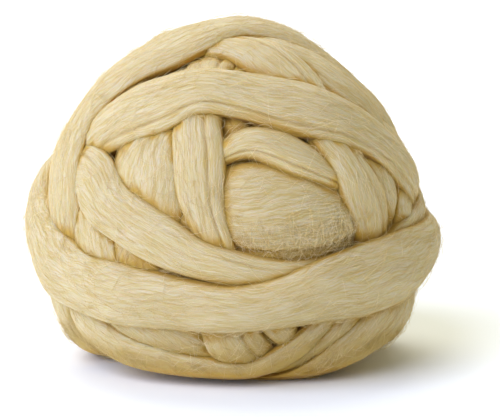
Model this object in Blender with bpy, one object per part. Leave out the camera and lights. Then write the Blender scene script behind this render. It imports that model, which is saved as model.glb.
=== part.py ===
"""A ball of wool roving: one continuous sliver of combed wool, wound turn over turn into a ball
that has settled under its own weight. One closed solid. Metres, +Z up, the origin in the middle
of the flat spot that the ball rests on, and the fullest view of the winding from -Y."""

import math

import bmesh
import bpy
import numpy as np
from mathutils import Vector
from mathutils.kdtree import KDTree

NODE = "roving_ball"

# --- driving dimensions, in metres ---------------------------------------------------------
CROWN_RADIUS = 0.086       # centre to the outside of the winding, upper half
GIRTH_RADIUS = 0.090       # the same at the widest level, where the ball has spread
CENTRE_HEIGHT = 0.0755     # centre above the surface that the ball rests on
FOOT_RADIUS = 0.084        # centre to the underside, before it flattens on the surface
CORNER_POWER = 3.5         # superellipse power of the settled lower half
SETTLED_BAND = (-0.26, 0.17)   # sine of latitude over which the round half turns into the settled

CORE_DEPTH = 0.016         # from the outside down to the plain middle
CORE_FOOT = 0.040          # radius within which the middle reaches down to the surface
CORE_FOOT_EDGE = 0.020     # width over which it rises again
FLOOR_SOFTNESS = 0.006     # height over which a turn flattens against the surface
FLOOR_SINK = 0.0015        # depth of the flattened turns that the flat spot cuts away

# --- how the turns lie on one another -------------------------------------------------------
PRESS = 0.36               # how far crossing turns press into each other, of their thickness
CONTACT = 0.0045           # reach of the contact between two turns
STIFFNESS = 0.0075         # length over which a turn bends
PUSH_OUT = 0.30            # share of an overlap that the upper turn gives way by, each round
PUSH_IN = 0.45             # the same for the lower turn
RETURN = 0.05              # share of its way back that a turn takes, each round
ROUNDS = 60
LANES = np.linspace(-0.8, 0.8, 5)   # where a turn is felt across its width, -1 to 1
LANE_BEND = LANES**2 - np.mean(LANES**2)
EDGE_POWER = 0.97          # superellipse power of a turn's section, below 1 for a flatter strip

# --- facets ---------------------------------------------------------------------------------
ROUTE_STEP = 0.006
ROUTE_SMOOTHING = 0.004
SECTION_POINTS = 16
VOXEL = 0.0016
FACET_SHARE = 0.08         # of the facets of the joined turns

CENTRE = np.array([0.0, 0.0, CENTRE_HEIGHT])

# Deep turns that show only between the outer ones: great circles round an axis given by its
# (longitude, latitude, width in mm, how far under the outside in mm).
DEEP_TURNS = [
    (20, 35, 36, 10), (75, 10, 36, 10), (130, 50, 36, 9), (-60, 30, 36, 9),
    (-20, 60, 36, 8), (100, 75, 36, 8), (35, 5, 36, 8), (-75, 62, 36, 8),
    (160, 20, 36, 7), (-140, 45, 36, 7), (5, 82, 36, 7), (55, 40, 36, 7)]
DEEP_THICKNESS = 12

# Each outer turn is a closed route round the ball, first the deepest, last the outermost. A row
# is (longitude, latitude, width in mm, lift in mm over the nominal outside): longitude 0 faces -Y
# and grows towards +X, latitude 90 is the top, both in degrees.
TURNS = {
    "tail": dict(thick=9, route=[
        (6, -12, 13, -3), (9.5, -23, 15, -1), (13.5, -29, 15, 0), (18, -33.5, 14, 0),
        (24, -38, 13, -1), (40, -46, 16, -2), (96, -58, 18, -2), (140, -42, 20, -2),
        (150, -20, 22, -3), (158, 10, 22, -4), (160, 45, 22, -4), (120, 78, 22, -4),
        (10, 76, 22, -4), (2, 50, 20, -4), (1, 32, 16, -4), (2, 8, 14, -5)]),
    "heart_low": dict(thick=9, route=[
        (-90, -14, 24, -4), (-45, -14, 24, -4), (-20, -12, 24, -3), (0, -9.5, 24, 0),
        (15, -9.5, 24, 2), (30, -6, 24, 1), (42, -1, 24, -3), (60, 4, 26, -4), (100, 10, 28, -4),
        (150, 12, 28, -4), (-150, 4, 28, -4), (-115, -8, 28, -4)]),
    "heart": dict(thick=13, route=[
        (-90, -16, 30, -3), (-60, -8, 32, -3), (-30, 0, 34, -2), (-10, 5, 38, 0), (2, 6.3, 41, 2),
        (15, 6.6, 41, 3), (28, 7, 40, 2), (39, 8, 38, 0), (60, 10, 32, -3), (95, 14, 28, -3),
        (140, 8, 28, -3), (180, -6, 28, -3), (-135, -16, 28, -3)]),
    "heart_high": dict(thick=13, route=[
        (-85, -10, 26, -3), (-60, 2, 26, -4), (-38, 11, 24, -4), (-20, 16.5, 18, -4),
        (-10, 19.5, 13, -3), (-5, 21.5, 12, -2), (-0.5, 23.6, 12.5, 0), (4, 25.4, 15, 2),
        (10, 25.4, 18, 3), (18.4, 22.2, 20, 3), (26.2, 18.4, 18.5, 3), (33, 15, 14, 1),
        (39, 12, 14, -2), (60, 8, 20, -4), (85, -2, 28, -3), (120, -18, 28, -2),
        (170, -30, 28, -2), (-140, -30, 28, -2), (-110, -22, 28, -2)]),
    "left_slope": dict(thick=11, route=[
        (-38, -26, 24, -3), (-32, -12, 30, -2), (-26, 0, 35, -1), (-27, 10, 38, 0),
        (-29, 20, 41, 0), (-26, 31, 36, -1), (-11, 46, 26, -2), (12, 64, 24, -3),
        (80, 78, 26, -3), (150, 62, 28, -2), (158, 36, 28, -2), (156, 8, 28, -2),
        (148, -20, 28, -2), (128, -46, 28, -1), (60, -66, 28, -1), (-10, -58, 26, -1),
        (-34, -42, 26, -2)]),
    "left_knuckle": dict(thick=10, route=[
        (-62, 44, 26, -3), (-60, 24, 28, -3), (-54, 6, 34, -1), (-50, -6, 37, 0),
        (-43, -18, 32, -1), (-28, -29, 29, -2), (-15, -38, 28, -2), (10, -52, 28, -2),
        (80, -62, 28, -2), (135, -40, 28, -2), (145, -10, 28, -2), (150, 20, 28, -2),
        (165, 50, 28, -2), (-120, 70, 28, -2), (-72, 60, 26, -2)]),
    "upright": dict(thick=10, route=[
        (-14, 68, 28, -2), (-14, 56, 28, -2), (-14, 44, 26, -1), (-13, 31, 24, 0),
        (-10.5, 21, 25, 1), (-9.5, 10, 23, 1), (-7.5, 2, 20, 0), (-5, -4, 18, -1),
        (-3, -14, 20, -2), (-3, -24, 24, -2), (0, -33, 27, -1), (8, -44, 28, -1),
        (40, -68, 28, -1), (150, -58, 28, -1), (172, -30, 28, -1), (176, 0, 28, -1),
        (178, 35, 28, -1), (180, 65, 28, -1), (-90, 86, 28, -1)]),
    "foot": dict(thick=11, route=[
        (-78, -8, 26, -2), (-66, -24, 26, 0), (-56, -33, 26, 0), (-42, -39, 25, -1),
        (-26, -43, 25, -2), (-8, -46, 24, -3), (6, -47, 24, -3), (18, -43, 24, -3),
        (28, -37, 24, -2), (37, -30, 26, -1), (50, -22, 28, -1), (75, -4, 28, -2),
        (95, 18, 28, -1), (115, 38, 28, -1), (160, 55, 28, -1), (-140, 52, 28, -1),
        (-105, 34, 28, -1), (-88, 12, 28, -1)]),
    "inner_right": dict(thick=9, route=[
        (30, 66, 28, -2), (42, 46, 26, -2), (52, 28, 24, -2), (60, 12, 24, -2), (67, 0, 24, -1),
        (67, -13, 25, 0), (61, -25, 26, 0), (55, -36, 26, -2), (42, -52, 28, -3),
        (-20, -80, 28, 0), (-120, -60, 28, 0), (-128, -30, 28, 0), (-124, 0, 28, 0),
        (-128, 32, 28, 0), (-155, 62, 28, 0), (110, 82, 28, 0)]),
    "shoulder": dict(thick=10, route=[
        (-60, 74, 28, 0), (5, 72, 28, 0), (38, 61, 30, 0), (57, 46, 32, -1), (70, 32, 30, -2),
        (78, 20, 28, -2), (88, 2, 28, -1), (98, -16, 28, 0), (112, -34, 28, 0), (150, -52, 28, 0),
        (-150, -48, 28, 0), (-118, -22, 28, 0), (-112, 6, 28, 0), (-108, 36, 28, 0),
        (-95, 60, 28, 0)]),
    "diagonal": dict(thick=11, route=[
        (-32, 67, 16, -1), (-14, 66, 17, 0), (2, 64, 20, 0), (15, 60, 25, 0), (26, 51, 27, 0),
        (33, 39, 27, 0), (38, 24, 24, 0), (44, 9, 26, 0), (49.5, -3, 28, 0), (50, -15, 27, 0),
        (47, -27, 25, -1), (40, -36, 26, -3), (30, -48, 28, -3), (-30, -74, 28, 0),
        (-140, -68, 28, 0), (-165, -40, 28, 0), (-166, -8, 28, 0), (-160, 24, 28, -1),
        (-140, 50, 26, -4), (-90, 68, 22, -6)]),
    "hip": dict(thick=13, route=[
        (78, 8, 30, -3), (72, -8, 33, 1), (67, -20, 35, 5), (61, -28, 35, 6), (52, -35, 34, -1),
        (42, -43, 33, -6), (32, -52, 32, -5), (0, -66, 30, 0), (-70, -62, 28, 0),
        (-100, -42, 28, 0), (-114, -16, 28, 0), (-130, 10, 28, 0), (-160, 32, 28, -1),
        (150, 42, 28, -3), (110, 34, 28, -6), (88, 20, 28, -6)]),
    "brow": dict(thick=11, route=[
        (-74, 6, 24, 0), (-63, 17, 24, 0), (-52, 27.5, 28, 0), (-38, 36, 36, 0),
        (-28, 38.8, 34, 0), (-20, 41.8, 31, 1), (-12, 43, 27, 1), (-3, 42.7, 26, 1),
        (8, 41.2, 27, 1), (20, 37.9, 29, 1), (32, 34.2, 28, 1),
        (48, 28.8, 25.5, 1), (60, 22, 24, 1), (72, 13, 25, 2), (82, 4, 26, 3), (91, -8, 26, 3),
        (112, -28, 28, 0), (150, -42, 28, 0), (-165, -44, 28, 0), (-125, -34, 28, 0),
        (-92, -14, 26, 0)]),
    "cheek": dict(thick=11, route=[
        (-78, 14, 26, 0), (-62, 13, 28, 1), (-50, 12, 29, 2), (-42, 6, 27, 3), (-32, 1, 24, 3),
        (-21.5, -4, 23, 2), (-11, -9, 19, 2), (1, -12, 17, 1), (14, -15, 18, 0),
        (32, -16, 22, 0), (60, -13, 26, 0), (90, -2, 28, 0), (125, 14, 28, 0),
        (165, 26, 28, 0), (-150, 28, 28, 0), (-110, 20, 28, 0)]),
    "crown": dict(thick=11, route=[
        (-67, -10, 33, 1), (-66, 0, 37, 1), (-66.5, 10, 38, 1), (-70, 20, 36, 1), (-72, 30, 32, 1),
        (-69, 42, 32, 1), (-62, 52, 32, 1), (-48, 62, 32, 0), (-30, 70, 32, 0), (0, 79, 32, -1),
        (60, 76, 32, -2), (88, 60, 32, -2.5), (97, 42, 32, -6), (102, 22, 30, -8),
        (105, 2, 28, -4), (108, -20, 28, 0), (118, -42, 28, 0), (170, -66, 28, 0),
        (-100, -58, 28, 0), (-80, -42, 28, 0), (-73, -26, 29, 0)]),
    "belt": dict(thick=15, route=[
        (-125, 8, 29, 3), (-108, 6, 29, 7), (-97, 1.5, 29, 12), (-87, -4, 29, 12),
        (-76, -10, 31, 3), (-62, -16, 32, 3), (-48, -19, 29, 3), (-30, -20.5, 27, 3),
        (-15, -22, 24, 2), (2, -22.5, 22, 2), (16, -21, 26, 2), (30, -18.5, 31, 3),
        (45, -16.5, 33, 3), (60, -14.5, 31, 4), (75, -12.5, 27, 6), (89, -10.5, 24, 9),
        (103, -8, 24, 6), (130, -3, 28, 4), (160, 3, 30, 3), (-165, 8, 30, 3), (-142, 10, 30, 3)]),
}


def smoothstep(t):
    t = np.clip(t, 0.0, 1.0)
    return t * t * (3 - 2 * t)


def direction(lon, lat):
    """Unit vector of a longitude and latitude in degrees."""
    lon, lat = np.radians(lon), np.radians(lat)
    return np.stack([np.sin(lon) * np.cos(lat), -np.cos(lon) * np.cos(lat), np.sin(lat)], -1)


def outer_radius(d):
    """Centre to the nominal outside of the ball along d: round above, settled below."""
    sine = d[..., 2]
    cosine = np.sqrt(np.clip(1 - sine**2, 0, 1))
    settled = ((cosine / GIRTH_RADIUS) ** CORNER_POWER
               + (np.abs(sine) / FOOT_RADIUS) ** CORNER_POWER) ** (-1 / CORNER_POWER)
    low, high = SETTLED_BAND
    share = smoothstep((high - sine) / (high - low))
    return CROWN_RADIUS * (1 - share) + settled * share


def onto_floor(points):
    """Flattens what would reach below the resting surface, in the order in which it lies."""
    z = points[..., 2]
    scale = FLOOR_SOFTNESS + FLOOR_SINK
    pressed = scale * np.exp((z - FLOOR_SOFTNESS) / scale) - FLOOR_SINK
    points[..., 2] = np.where(z < FLOOR_SOFTNESS, pressed, z)
    return points


def closed_spline(rows, count):
    """A closed Catmull-Rom curve through rows of any width, sampled count times per span."""
    t = np.arange(count)[:, None] / count
    found = []
    for i in range(len(rows)):
        a, b, c, d = (rows[(i + k - 1) % len(rows)] for k in range(4))
        found.append(0.5 * (2 * b + (c - a) * t + (2 * a - 5 * b + 4 * c - d) * t**2
                            + (3 * b - a - 3 * c + d) * t**3))
    return np.concatenate(found)


def ring_smooth(values, sigma):
    """Gaussian smoothing along the first axis of a closed ring, sigma in samples."""
    reach = max(1, int(3 * sigma))
    weights = np.exp(-0.5 * (np.arange(-reach, reach + 1) / sigma) ** 2)
    weights /= weights.sum()
    return sum(w * np.roll(values, k - reach, axis=0) for k, w in enumerate(weights))


def route_frame(rows, step):
    """Even samples of a route: unit directions, sideways unit vectors, widths and lifts."""
    table = np.array(rows, float)
    rows = np.column_stack([direction(table[:, 0], table[:, 1]), table[:, 2:] / 1000])
    dense = closed_spline(rows, 40)
    dense[:, :3] /= np.linalg.norm(dense[:, :3], axis=1, keepdims=True)
    path = dense[:, :3] * outer_radius(dense[:, :3])[:, None]
    length = np.concatenate([[0], np.cumsum(np.linalg.norm(np.roll(path, -1, 0) - path, axis=1))])
    count = int(round(length[-1] / step))
    at = np.linspace(0, length[-1], count, endpoint=False)
    looped = np.vstack([dense, dense[:1]])
    even = np.stack([np.interp(at, length, looped[:, k]) for k in range(5)], -1)
    even = ring_smooth(even, ROUTE_SMOOTHING / step)
    d = even[:, :3] / np.linalg.norm(even[:, :3], axis=1, keepdims=True)
    side = np.cross(np.roll(d, -1, 0) - np.roll(d, 1, 0), d)
    side /= np.linalg.norm(side, axis=1, keepdims=True)
    return d, side, even[:, 3], even[:, 4]


def great_circle(lon, lat, width, depth):
    """A route of eight rows round an axis."""
    axis = Vector(direction(lon, lat))
    first = axis.orthogonal().normalized()
    second = axis.cross(first)
    rows = []
    for k in range(8):
        turned = math.radians(45 * k)
        d = first * math.cos(turned) + second * math.sin(turned)
        rows.append((math.degrees(math.atan2(d.x, -d.y)), math.degrees(math.asin(d.z)),
                     width, -depth))
    return rows


def all_turns():
    """(name, route, thickness in metres) of each turn, from the deepest to the outermost."""
    deep = [(f"deep_{k}", great_circle(*row), DEEP_THICKNESS / 1000)
            for k, row in enumerate(DEEP_TURNS)]
    return deep + [(name, turn["route"], turn["thick"] / 1000) for name, turn in TURNS.items()]


def offset(d, side, sideways):
    """Directions that lie this far (metres, rows by lanes) to the side of a route."""
    angle = sideways / outer_radius(d)[:, None]
    return d[:, None] * np.cos(angle)[..., None] + side[:, None] * np.sin(angle)[..., None]


def contacts(where, rooms, owners):
    """Pairs of a later turn's sample and an earlier one's beside it, and the gap they keep."""
    tree = KDTree(len(where))
    for k, point in enumerate(where):
        tree.insert(point, k)
    tree.balance()
    above, below, gap = [], [], []
    for k, point in enumerate(where):
        for _, other, far in tree.find_range(point, CONTACT):
            if owners[k] > owners[other]:
                above.append(k)
                below.append(other)
                near = 1 - (far / CONTACT) ** 2 / 2
                gap.append((1 - PRESS) * (rooms[k] + rooms[other]) * near)
    return np.array(above), np.array(below), np.array(gap)


def tilt_of(rows):
    """Slope across the lanes of each row."""
    return (rows * LANES).sum(1) / (LANES**2).sum()


def settle(turns):
    """
    Heights of each turn's middle surface over the nominal outside, rows by lanes, once the
    turns have settled: where two cross, the later one is pushed out and the earlier one in.
    """
    where, wanted, rooms, owners = [], [], [], []
    for order, (_, route, thick) in enumerate(turns):
        d, side, width, lift = route_frame(route, ROUTE_STEP)
        dirs = offset(d, side, LANES[None] * width[:, None] / 2)
        where.append((dirs * CROWN_RADIUS).reshape(-1, 3))
        wanted.append(np.repeat(lift - thick / 2, len(LANES)))
        rooms.append(np.tile(thick * np.sqrt(1 - LANES**2) / 2, len(d)))
        owners.append(np.full(len(d) * len(LANES), order))
    ends = np.cumsum([len(heights) for heights in wanted])
    spans = [slice(end - len(heights), end) for end, heights in zip(ends, wanted)]
    wanted = np.concatenate(wanted)
    above, below, gap = contacts(np.concatenate(where), np.concatenate(rooms),
                                 np.concatenate(owners))
    height = wanted.copy()
    for _ in range(ROUNDS):
        short = np.clip(gap - (height[above] - height[below]), 0, None)
        out, inward = np.zeros_like(height), np.zeros_like(height)
        np.maximum.at(out, above, short)
        np.maximum.at(inward, below, short)
        height += PUSH_OUT * out - PUSH_IN * inward
        height += RETURN * (wanted - height)
        for span in spans:
            rows = height[span].reshape(-1, len(LANES))
            flat = rows.mean(1, keepdims=True) + tilt_of(rows)[:, None] * LANES
            rows = ring_smooth((rows + flat) / 2, STIFFNESS / ROUTE_STEP / 2)
            height[span] = rows.reshape(-1)
    return [height[span].reshape(-1, len(LANES)) for span in spans]


def turn_surface(route, thick, heights, step, columns):
    """Points of a turn, rows along it by columns round its rounded flat section."""
    d, side, width, _ = route_frame(route, step)
    mean, tilt = heights.mean(1), tilt_of(heights)
    bend = (heights * LANE_BEND).sum(1) / (LANE_BEND**2).sum()
    at = np.linspace(0, len(mean), len(d), endpoint=False)
    mean, tilt, bend = (np.interp(at, np.arange(len(mean) + 1), np.append(value, value[0]))
                        for value in (mean, tilt, bend))
    angle = 2 * np.pi * (np.arange(columns) + 0.5) / columns
    across = np.sign(np.cos(angle)) * np.abs(np.cos(angle)) ** EDGE_POWER
    up = np.sign(np.sin(angle)) * np.abs(np.sin(angle)) ** EDGE_POWER
    dirs = offset(d, side, across[None] * width[:, None] / 2)
    height = (mean[:, None] + tilt[:, None] * across
              + bend[:, None] * (across**2 - np.mean(LANES**2)) + up * thick / 2)
    return CENTRE + dirs * (outer_radius(dirs) + height)[..., None]


def skin(rows, columns):
    """Faces of a closed ring of closed sections."""
    index = np.arange(rows * columns).reshape(rows, columns)
    after, beside = np.roll(index, -1, 0), np.roll(index, -1, 1)
    return np.stack([index, beside, np.roll(beside, -1, 0), after], -1).reshape(-1, 4)


def add_core(bm):
    """The plain middle, which reaches down to the flat spot."""
    made = bmesh.ops.create_icosphere(bm, subdivisions=5, radius=1.0)
    for vert in made["verts"]:
        d = np.array(vert.co.normalized())
        outside = outer_radius(d)
        depth = CORE_DEPTH
        if d[2] < 0:
            far = outside * math.hypot(d[0], d[1])
            depth *= smoothstep((far - CORE_FOOT) / CORE_FOOT_EDGE)
        vert.co = Vector(onto_floor(CENTRE + d * (outside - depth)))


def add_turn(bm, points):
    rows, columns = points.shape[:2]
    verts = [bm.verts.new(p) for p in onto_floor(points.reshape(-1, 3))]
    for face in skin(rows, columns):
        bm.faces.new([verts[i] for i in face])


def wool():
    material = bpy.data.materials.new("wool")
    material.use_nodes = True
    shader = material.node_tree.nodes["Principled BSDF"]
    shader.inputs["Base Color"].default_value = (0.72, 0.58, 0.34, 1)
    shader.inputs["Roughness"].default_value = 0.9
    shader.inputs["Metallic"].default_value = 0.0
    return material


def floor_cutter():
    """A block whose top is the resting surface."""
    bpy.ops.mesh.primitive_cube_add(size=0.4, location=(0, 0, -0.2))
    cutter = bpy.context.object
    cutter.name = "floor_cutter"
    cutter.hide_render = True
    cutter.display_type = "WIRE"
    return cutter


def wound_mesh():
    """The middle and all the turns, still overlapping."""
    bm = bmesh.new()
    add_core(bm)
    turns = all_turns()
    for (_, route, thick), heights in zip(turns, settle(turns)):
        add_turn(bm, turn_surface(route, thick, heights, ROUTE_STEP, SECTION_POINTS))
    bmesh.ops.recalc_face_normals(bm, faces=bm.faces)
    mesh = bpy.data.meshes.new(NODE)
    bm.to_mesh(mesh)
    bm.free()
    return mesh


def main():
    for obj in list(bpy.data.objects):
        bpy.data.objects.remove(obj, do_unlink=True)
    ball = bpy.data.objects.new(NODE, wound_mesh())
    bpy.context.scene.collection.objects.link(ball)
    ball.data.materials.append(wool())
    joined = ball.modifiers.new("one body", "REMESH")
    joined.mode = "VOXEL"
    joined.voxel_size = VOXEL
    joined.use_smooth_shade = True
    soften = ball.modifiers.new("soften", "SMOOTH")
    soften.iterations = 1
    thin = ball.modifiers.new("thin out", "DECIMATE")
    thin.ratio = FACET_SHARE
    flat = ball.modifiers.new("flat spot", "BOOLEAN")
    flat.operation = "DIFFERENCE"
    flat.object = floor_cutter()


main()
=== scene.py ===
"""The dressed ball of wool roving: every turn of the winding is its own band of combed fibre,
laid in the same order and settled in the same way as in the part's source, with its locks and
creases modelled, loose fibres over it, and a procedural wool finish with painted shade where less sky
is seen."""

import math

import bpy
import numpy as np
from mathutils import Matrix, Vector
from mathutils.bvhtree import BVHTree
from mathutils.kdtree import KDTree


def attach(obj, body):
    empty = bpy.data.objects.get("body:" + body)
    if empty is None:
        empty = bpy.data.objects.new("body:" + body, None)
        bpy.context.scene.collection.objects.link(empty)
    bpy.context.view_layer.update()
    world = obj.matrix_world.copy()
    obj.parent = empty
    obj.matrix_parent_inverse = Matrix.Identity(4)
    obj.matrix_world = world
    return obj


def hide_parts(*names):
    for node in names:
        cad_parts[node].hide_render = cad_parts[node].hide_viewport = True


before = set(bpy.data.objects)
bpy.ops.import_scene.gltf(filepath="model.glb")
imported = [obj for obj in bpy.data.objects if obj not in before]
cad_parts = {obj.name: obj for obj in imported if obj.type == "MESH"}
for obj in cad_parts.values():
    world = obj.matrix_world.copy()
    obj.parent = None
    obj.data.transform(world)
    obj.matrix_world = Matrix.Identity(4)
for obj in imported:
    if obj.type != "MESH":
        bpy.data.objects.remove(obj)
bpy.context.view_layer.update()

NODE = "roving_ball"

# --- driving dimensions, in metres ---
CROWN_RADIUS = 0.086       # centre to the outside of the winding, upper half
GIRTH_RADIUS = 0.090       # the same at the widest level, where the ball has spread
CENTRE_HEIGHT = 0.0755     # centre above the surface that the ball rests on
FOOT_RADIUS = 0.084        # centre to the underside, before it flattens on the surface
CORNER_POWER = 3.5         # superellipse power of the settled lower half
SETTLED_BAND = (-0.26, 0.17)   # sine of latitude over which the round half turns into the settled

CORE_DEPTH = 0.016         # from the outside down to the plain middle
CORE_FOOT = 0.040          # radius within which the middle reaches down to the surface
CORE_FOOT_EDGE = 0.020     # width over which it rises again
FLOOR_SOFTNESS = 0.006     # height over which a turn flattens against the surface
FLOOR_SINK = 0.0015        # depth of the flattened turns that the flat spot cuts away

# --- how the turns lie on one another ---
PRESS = 0.36               # how far crossing turns press into each other, of their thickness
CONTACT = 0.0045           # reach of the contact between two turns
STIFFNESS = 0.0075         # length over which a turn bends
PUSH_OUT = 0.30            # share of an overlap that the upper turn gives way by, each round
PUSH_IN = 0.45             # the same for the lower turn
RETURN = 0.05              # share of its way back that a turn takes, each round
ROUNDS = 60                # of settling
LANES = np.linspace(-0.8, 0.8, 5)   # where a turn is felt across its width, -1 to 1
LANE_BEND = LANES**2 - np.mean(LANES**2)
EDGE_POWER = 0.97          # superellipse power of a turn's section, below 1 for a flatter strip

# --- how finely the turns are made ---
SPAN_SAMPLES = 40          # on each span of a route, before it is sampled evenly
ROUTE_STEP = 0.006         # spacing at which the turns settle on one another
ROUTE_SMOOTHING = 0.004    # length over which a route's corners are rounded
BAND_STEP = 0.0045         # spacing of rows along an outer turn
TOP_POINTS = 44            # across the outside of an outer turn
UNDER_POINTS = 12          # across its underside
DEEP_STEP = 0.007          # the same three for a deep turn
DEEP_TOP_POINTS = 26
DEEP_UNDER_POINTS = 8
COARSE_TOP, COARSE_UNDER = 16, 8     # the same two where the sky is measured
CORE_COLUMNS, CORE_ROWS = 96, 48
FLOOR_GAP = 0.0002         # between the ball and the surface that it rests on

CENTRE = np.array([0.0, 0.0, CENTRE_HEIGHT])

# --- the fine forms of a turn ---
# Locks of fibre that stand a little out of a band: (width in mm, length in mm, height in mm).
LOCKS = [(11.0, 120, 0.22), (4.6, 80, 0.04)]
FEWEST_LOCKS = 3           # along a turn
DEEP_SOFTNESS = 0.6        # share of the locks' height that the deep turns have
NOISE_CELLS = 128          # across a turn, before the noise repeats
NOISE_SHIFT = 40           # cells, so that they are counted from inside the table

# Locks and creases drift sideways along a turn, all together and each by itself: how far in mm,
# and how many times that changes round the loop.
DRIFT, DRIFT_CELLS = 5, 7
OWN_DRIFT, OWN_DRIFT_CELLS = 2, 12
OWN_DRIFT_WIDTH = 14       # mm across that drift as one

# Lengthwise creases by turn: (place across from -1 to 1, depth in mm, half width in mm).
CREASES = {
    "upright": [(-0.42, 1.3, 1.0)],
    "diagonal": [(-0.28, 0.9, 1.0)],
    "shoulder": [(0.3, 0.4, 1.2)],
    "brow": [(0.62, 1.0, 0.9)],
    "hip": [(0.25, 0.4, 1.0)],
    "heart_high": [(0.62, 0.9, 0.9)],
    "cheek": [(-0.62, 0.4, 0.7)],
    "belt": [(0.6, 0.35, 1.1)],
    "foot": [(0.1, 0.4, 1.0)],
}
CREASE_MEAN = 0.75         # share of its depth that a crease has on average along the turn
CREASE_SWING = 0.5         # how far that share rises and falls
CREASE_CELLS = 9           # how many times it changes round the loop
CREASE_SHADE = 0.25        # how much a full crease closes its own sky, which paints shade into the crease
CREASE_DRIFT = 0.24        # how far a crease follows the locks' sideways drift
PINCH = 1.0                # mm that a turn sinks where its neighbours close in on it
SEEDS_PER_TURN = 100       # a turn's noises take their seeds from its own hundred

# --- the sky that a point sees ---
OPEN_RAYS = 14             # from each point
OPEN_SPREAD = 0.98         # of the rays round the band's normal, below 1 so that none goes inward
OPEN_REACH = 0.036         # how near another turn closes the sky
NEAR_REACH = 0.008         # how near a neighbour closes a crevice
OPEN_LIFT = 0.0006         # a ray starts this far above the band
OPEN_FLOOR = 0.3           # half the side of the floor that counts as closed sky, which paints shade on the ball's underside
SKY_SEED = 7
SHOWN = 0.28               # share of open sky above which a turn's surface shows
LEAST_SHOWN = 0.00005      # square metres of a turn that have to show for it to get strands
CORE_OPEN = 0.1            # the middle only shows deep between the turns, and is painted in deep shade

# --- strands of fibre ---
# Strands laid over what shows of a turn. per_cm2: how many to a square centimetre; length and
# radius in mm; slanted and slant: mean and spread of the angle to the turn's direction, in degrees;
# waves and wander: number and width in mm of the sideways waves; lift: how far it rises, in mm;
# free: share of strands that end loose in the air; steps: points along one; shows: shares of open
# sky where the strands begin, are full in number, start to thin out and end; place: where across
# the turn, from -1 to 1, they begin and are full in number; paler: extra sky that they see, which
# lightens their painted shade.
STRAND = dict(slanted=0, steps=6, shows=(0.14, 0.28, 2, 3), place=(-3, -2), paler=0)
FIBRES = {
    "combed": dict(STRAND, per_cm2=8.0, length=(12, 34), slant=8.0, waves=(0.5, 1.8),
                   wander=(0.1, 1.0), lift=(0.06, 0.25), radius=(0.035, 0.070), free=0.0),
    "fleece": dict(STRAND, per_cm2=4.0, length=(7, 18), slant=24, waves=(0.4, 1.2),
                   wander=(0.2, 1.4), lift=(0.15, 0.75), radius=(0.035, 0.055), free=0.3),
    "halo": dict(STRAND, per_cm2=5.0, length=(8, 24), slant=38, waves=(0.3, 0.8),
                 wander=(0.5, 2.5), lift=(0.3, 2.8), radius=(0.045, 0.080), free=0.6),
    "fringe": dict(STRAND, per_cm2=30.0, length=(5, 14), slant=50, waves=(0.4, 1.1),
                   wander=(0.4, 2.0), lift=(0.5, 2.6), radius=(0.040, 0.075), free=0.7,
                   shows=(0.10, 0.22, 0.42, 0.62)),
    "tuft": dict(STRAND, per_cm2=45.0, length=(6, 18), slant=42, waves=(0.5, 1.4),
                 wander=(0.6, 2.6), lift=(0.4, 3.2), radius=(0.045, 0.085), free=0.5,
                 steps=7, shows=(0.02, 0.08, 2, 3), paler=0.4),
    "hem": dict(STRAND, per_cm2=50.0, length=(7, 20), slanted=50, slant=48, waves=(0.6, 1.8),
                wander=(0.8, 3.2), lift=(0.4, 3.4), radius=(0.050, 0.095), free=0.5,
                steps=7, shows=(0.02, 0.08, 2, 3), place=(0.25, 1.0), paler=0.4),
}
TUFTED = {"heart_low": "tuft", "heart": "hem"}   # turns with a tangled, fluffy part
LOOSE_KINDS = ("fleece", "fringe", "halo")       # one piece each, for all turns together
STRAND_SEED = 11
SKY_PER_MM = 0.16          # how much more of the sky a strand sees for each mm of lift, which lightens its painted shade
ROOT_DEPTH = -0.04         # a strand's ends lie this far inside the turn, in mm
ARCH_POWER = 0.7           # below 1 for a strand that soon rises and then runs along
LOOSE_POWER = 2            # the same for one with a loose end, which rises late
TAPER = 0.5                # power of a sine: how thick a strand stays towards its ends
SIDES = 3                  # of a strand
OVERHANG = 2               # columns that a strand may reach past the edge of a turn's outside
FINEST_PITCH = 0.15        # mm between columns, at least, where a strand moves sideways

# --- the look of the wool ---
CREAM_PALE = (0.62, 0.56, 0.405, 1)
CREAM_LIGHT = (0.585, 0.51, 0.325, 1)
CREAM = (0.55, 0.455, 0.23, 1)
STRAW = (0.47, 0.35, 0.12, 1)
# The three colours below are painted shade: golden where a point sees less sky, darker golden and brown
# where neighbouring turns close in on it.
SHADE_GOLD = (0.49, 0.34, 0.085, 1)
DEEP_SHADE_GOLD = (0.49, 0.30, 0.045, 1)
DEEP_SHADE_UMBER = (0.36, 0.20, 0.025, 1)

FLOW_SHIFT = 37.0          # mm between two turns' fibre coordinates
BAND_TONE = 0.30           # a turn's own tone, where strands have 0 for straw to 1 for pale

# Noise along the fibres: (waves per mm across them, waves per mm along them, detail, shift).
STREAKS = (1.4, 0.05, 3.0, (0, 0, 0))
HAIRS = (2.6, 0.10, 2.0, (11, 3, 5))
BLOTCHES = (0.10, 0.020, 2.0, (3, 9, 1))

# The fibres sway widely, and with the wool's small crimp: (waves per mm across, waves per mm
# along, how far in mm). Streaks and hairs have each their own sway.
SWAY = (0.05, 0.035, 9.0)
CRIMP = (0.22, 0.22, 1.2)
STREAK_SHIFT = (0, 0, 0)
HAIR_SHIFT = (31, 17, 8)

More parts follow.
